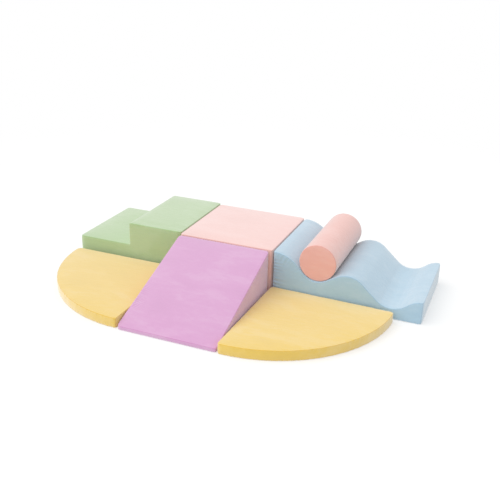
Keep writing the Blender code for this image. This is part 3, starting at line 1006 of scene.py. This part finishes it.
def multiplied(tree, first, second):
    """Two colours multiplied."""
    made = add_node(tree, "Mix", data_type="RGBA", blend_type="MULTIPLY")
    made.inputs[0].default_value = 1
    tree.links.new(first, made.inputs[MIX_FIRST])
    tree.links.new(second, made.inputs[MIX_SECOND])
    return made.outputs[MIX_RESULT]


def paler(colour, share):
    """A colour mixed with white."""
    return tuple(channel + (1 - channel) * share for channel in colour)


def painted_shade_of(colour, least, own):
    """A painted shade to multiply a colour by, which darkens its strongest channel the least."""
    return tuple(least + own * channel / max(colour) for channel in colour)


def suede(name, colour):
    """Short-pile suede cloth: brushed patches, a fine pile and a soft white nap. Painted shade darkens and
    deepens its colour in its seams and along the rounded edges beside them.
    """
    material, tree, shader = new_material(name)
    noises = textures(
        tree,
        stretch=BRUSHED_WAY,
        broad={"Scale": 8, "Detail": 3, "Roughness": 0.55, "Distortion": 0.6},
        brushed={"Scale": 60, "Detail": 4, "Roughness": 0.65},
        pile={"Scale": 1100, "Detail": 2},
    )
    brushed = noises["brushed"].outputs["Fac"]
    fine = scaled(tree, noises["pile"].outputs["Fac"], PILE_SHARE, noises["broad"].outputs["Fac"])
    patches = scaled(tree, brushed, BRUSHED_SHARE, fine)
    pile_shades = (tone(colour, LAID_TONE), colour, paler(colour, RAISED_PALENESS))
    shades = ramp(tree, patches, zip(SHADE_STOPS, pile_shades))
    # Painted shade: the colour darkens and deepens in the seams and along the rounded edges beside them, by
    # distance from the seam
    distance = add_node(tree, "Attribute", attribute_name="seam_distance").outputs["Fac"]
    centimetres = scaled(tree, distance, CENTIMETRES)
    painted_seam_shades = (painted_shade_of(colour, *PAINTED_SEAM_SHADE), painted_shade_of(colour, *PAINTED_EDGE_SHADE), WHITE)
    painted_seam_shade = ramp(tree, centimetres, zip(PAINTED_SEAM_STOPS, painted_seam_shades))
    tree.links.new(multiplied(tree, shades, painted_seam_shade), shader.inputs["Base Color"])
    pile = raised(tree, noises["pile"].outputs["Fac"], strength=0.3, distance=0.0006)
    nap = raised(tree, brushed, strength=0.3, distance=0.004, under=pile)
    tree.links.new(nap, shader.inputs["Normal"])
    shader.inputs["Roughness"].default_value = 0.92
    shader.inputs["Specular IOR Level"].default_value = 0.12
    shader.inputs["Sheen Weight"].default_value = 1
    shader.inputs["Sheen Roughness"].default_value = 0.6
    return material


def grained(name, colour, scale, contrast=0.15, roughness=0.9, relief=0.0006):
    """A matt material with a fine grain in its colour and surface."""
    material, tree, shader = new_material(name)
    grain = textures(tree, grain={"Scale": scale, "Detail": 3})["grain"].outputs["Fac"]
    shades = (tone(colour, 1 - contrast), tone(colour, 1 + contrast))
    tree.links.new(ramp(tree, grain, zip(GRAIN_STOPS, shades)), shader.inputs["Base Color"])
    tree.links.new(raised(tree, grain, strength=0.5, distance=relief), shader.inputs["Normal"])
    shader.inputs["Roughness"].default_value = roughness
    return material


def dotted(name, colour, dot):
    """The non-slip cloth under a block: a dark weave with rows of small rubber dots."""
    material, tree, shader = new_material(name)
    place = add_node(tree, "TexCoord").outputs["Object"]
    rows = add_node(tree, "TexVoronoi", voronoi_dimensions="2D", Scale=125, Randomness=0)
    tree.links.new(place, rows.inputs["Vector"])
    distance = rows.outputs["Distance"]
    tree.links.new(ramp(tree, distance, zip(DOT_STOPS, (dot, colour))), shader.inputs["Base Color"])
    weave = textures(tree, weave={"Scale": 1200, "Detail": 2})["weave"].outputs["Fac"]
    domes = ramp(tree, distance, zip(DOME_STOPS, (WHITE, BLACK)))
    fine = raised(tree, weave, strength=0.4, distance=0.0004)
    dots = raised(tree, domes, strength=1, distance=0.0006, under=fine)
    tree.links.new(dots, shader.inputs["Normal"])
    shader.inputs["Roughness"].default_value = 0.75
    return material


def woven(name, colour):
    """A zip's tape: fine ribs across a tight weave."""
    material, tree, shader = new_material(name)
    place = add_node(tree, "TexCoord").outputs["Object"]
    ribs = add_node(tree, "TexWave", wave_type="BANDS", bands_direction="DIAGONAL", Scale=420, Distortion=0.4)
    tree.links.new(place, ribs.inputs["Vector"])
    shades = [tone(colour, factor) for factor in RIB_TONES]
    tree.links.new(ramp(tree, ribs.outputs["Fac"], zip(RIB_STOPS, shades)), shader.inputs["Base Color"])
    relief = raised(tree, ribs.outputs["Fac"], strength=0.5, distance=0.0003)
    tree.links.new(relief, shader.inputs["Normal"])
    shader.inputs["Roughness"].default_value = 0.8
    return material


# Stage


def floor():
    """A round pale floor that holds the object's soft shadow and fades into the white round it."""
    shape = bmesh.new()
    bmesh.ops.create_circle(shape, cap_ends=True, segments=FLOOR_SIDES, radius=FLOOR_FADES_TO + FLOOR_MARGIN)
    mesh = bpy.data.meshes.new("studio_floor")
    shape.to_mesh(mesh)
    shape.free()
    material, tree, shader = new_material("floor_paper")
    place = add_node(tree, "TexCoord").outputs["Object"]
    radius = add_node(tree, "VectorMath", operation="LENGTH")
    tree.links.new(place, radius.inputs[0])
    fade = add_node(
        tree, "MapRange", interpolation_type="SMOOTHSTEP", From_Min=FLOOR_FADES_FROM, From_Max=FLOOR_FADES_TO,
        To_Min=FLOOR_SOLID, To_Max=0,
    )
    tree.links.new(radius.outputs["Value"], fade.inputs["Value"])
    tree.links.new(fade.outputs["Result"], shader.inputs["Alpha"])
    shader.inputs["Base Color"].default_value = FLOOR_WHITE
    shader.inputs["Roughness"].default_value = 1
    shader.inputs["Specular IOR Level"].default_value = 0
    dressed(linked("studio_floor", mesh), material)


def world():
    """White all round, seen and reflected at full white and lighting the object a little less."""
    made = bpy.data.worlds.new("studio")
    bpy.context.scene.world = made
    made.use_nodes = True
    tree = made.node_tree
    background = tree.nodes["Background"]
    background.inputs["Color"].default_value = (*WHITE, 1)
    path = add_node(tree, "LightPath")
    seen = add_node(tree, "Math", operation="MAXIMUM")
    tree.links.new(path.outputs["Is Camera Ray"], seen.inputs[0])
    tree.links.new(path.outputs["Is Glossy Ray"], seen.inputs[1])
    seen_through = add_node(tree, "Math", operation="MAXIMUM")
    tree.links.new(seen.outputs[0], seen_through.inputs[0])
    tree.links.new(path.outputs["Is Transmission Ray"], seen_through.inputs[1])
    strength = add_node(tree, "MapRange", To_Min=WORLD_LIGHT, To_Max=1)
    tree.links.new(seen_through.outputs[0], strength.inputs["Value"])
    tree.links.new(strength.outputs["Result"], background.inputs["Strength"])


def daylight():
    """One broad, soft lamp from above, in front and a little to the left."""
    lamp = bpy.data.lights.new("soft_daylight", "SUN")
    lamp.energy = DAYLIGHT
    lamp.angle = math.radians(DAYLIGHT_SPREAD)
    made = linked("soft_daylight", lamp)
    made.rotation_euler = DAYLIGHT_FROM.to_track_quat("Z", "Y").to_euler()


def camera():
    """The camera at the photograph's place."""
    azimuth = math.radians(CAMERA_AZIMUTH)
    elevation = math.radians(CAMERA_ELEVATION)
    roll = math.radians(CAMERA_ROLL)
    back = Vector((
        math.sin(azimuth) * math.cos(elevation),
        -math.cos(azimuth) * math.cos(elevation),
        math.sin(elevation),
    ))
    level = Vector((math.cos(azimuth), math.sin(azimuth), 0))
    upward = back.cross(level)
    right = level * math.cos(roll) + upward * math.sin(roll)
    up = upward * math.cos(roll) - level * math.sin(roll)
    turn = Matrix((right, up, back)).transposed().to_4x4()
    data = bpy.data.cameras.new("camera")
    data.lens = LENS
    made = linked("camera", data)
    made.matrix_world = Matrix.Translation(CAMERA_TARGET + back * CAMERA_DISTANCE) @ turn
    bpy.context.scene.camera = made


# The whole set

camera()
floor()
world()
daylight()
bpy.context.scene.view_settings.view_transform = "Standard"

SEAMS = {
    "square": square_seams(),
    "step": step_seams(),
    "wave": wave_seams(),
    "wedge": wedge_seams(),
    "left_mat": mat_seams("left_mat", -1, Vector((1, 0, 0))),
    "right_mat": mat_seams("right_mat", 1, -joint_axis("right_mat_zip_pull")),
    "roller": roller_seams(),
}

# Gathers: where each lies, how far it reaches, how strong it is, how it leans, and which way its panel faces
GATHERS = {
    "wave": [
        (on_box("wave_cover", 0, 0, 0.55), 0.14, 1.3, 0, FRONT),
        (on_box("wave_cover", 1, 0, 0.2), 0.06, 0.4, 0, FRONT),
    ],
    "wedge": [(on_box("wedge_cover", 0, 0.3, 0.3), 0.07, 1.8, 1.0, UP)],
    "left_mat": [(on_box("left_mat_cover", 1, 0, 0.5), 0.05, 0.7, 0, FRONT)],
}

cloths = {colour: suede(colour + "_suede", value) for colour, value in CLOTH_COLOURS.items()}
tapes = {
    colour: woven(colour + "_tape", tone(value, TAPE_TONE)) for colour, value in CLOTH_COLOURS.items()
}
coils = {
    colour: grained(colour + "_coil", tone(value, COIL_TONE), scale=800, roughness=0.35)
    for colour, value in CLOTH_COLOURS.items()
}
threads = {
    colour: grained(colour + "_thread", value, scale=2500) for colour, value in CLOTH_COLOURS.items()
}
enamel = grained("slider_enamel", ENAMEL, scale=300, contrast=0.03, roughness=0.35, relief=0.00005)
base = dotted("base_cloth", BASE_GREY, BASE_DOT)
foam = grained("foam", FOAM_CREAM, scale=400, contrast=0.08)
hooks = grained("hook_tape", HOOK_GREY, scale=1800, contrast=0.3)
loops = grained("loop_tape", LOOP_GREY, scale=700, contrast=0.12, relief=0.0012)

for name, colour in SLOT_COLOURS.items():
    if name == "roller":
        foams = ["roller_foam_core"]
        nodes = ["roller_cover", "roller_front_end", "roller_back_end"]
        grid = ROLLER_GRID
        length, place = round_path()
        half_width = END_TAPE_HALF
    else:
        foams = [piece for piece in frame["nodes"] if piece.startswith(name + "_") and "foam" in piece]
        nodes = [name + "_cover", *foams]
        grid = FOAM_GRID
        length, place = straight_path(name)
        half_width = middle(name + "_zip").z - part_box(name + "_zip")[0].z
    padded_cover(name, foams, nodes, SEAMS[name], cloths[colour], grid)
    zip_closure(name, length, place, half_width, tapes[colour], coils[colour], threads[colour])
    zip_slider(name, place(SLIDER_LENGTH), enamel)

for name, obj in frame["nodes"].items():
    if name.endswith("_patch"):
        sewn_patch(name, loops if name.startswith(LOOP_SIDES) else hooks)
    elif name.endswith("_base_panel"):
        dressed(obj, base)

loose_foam(foam)
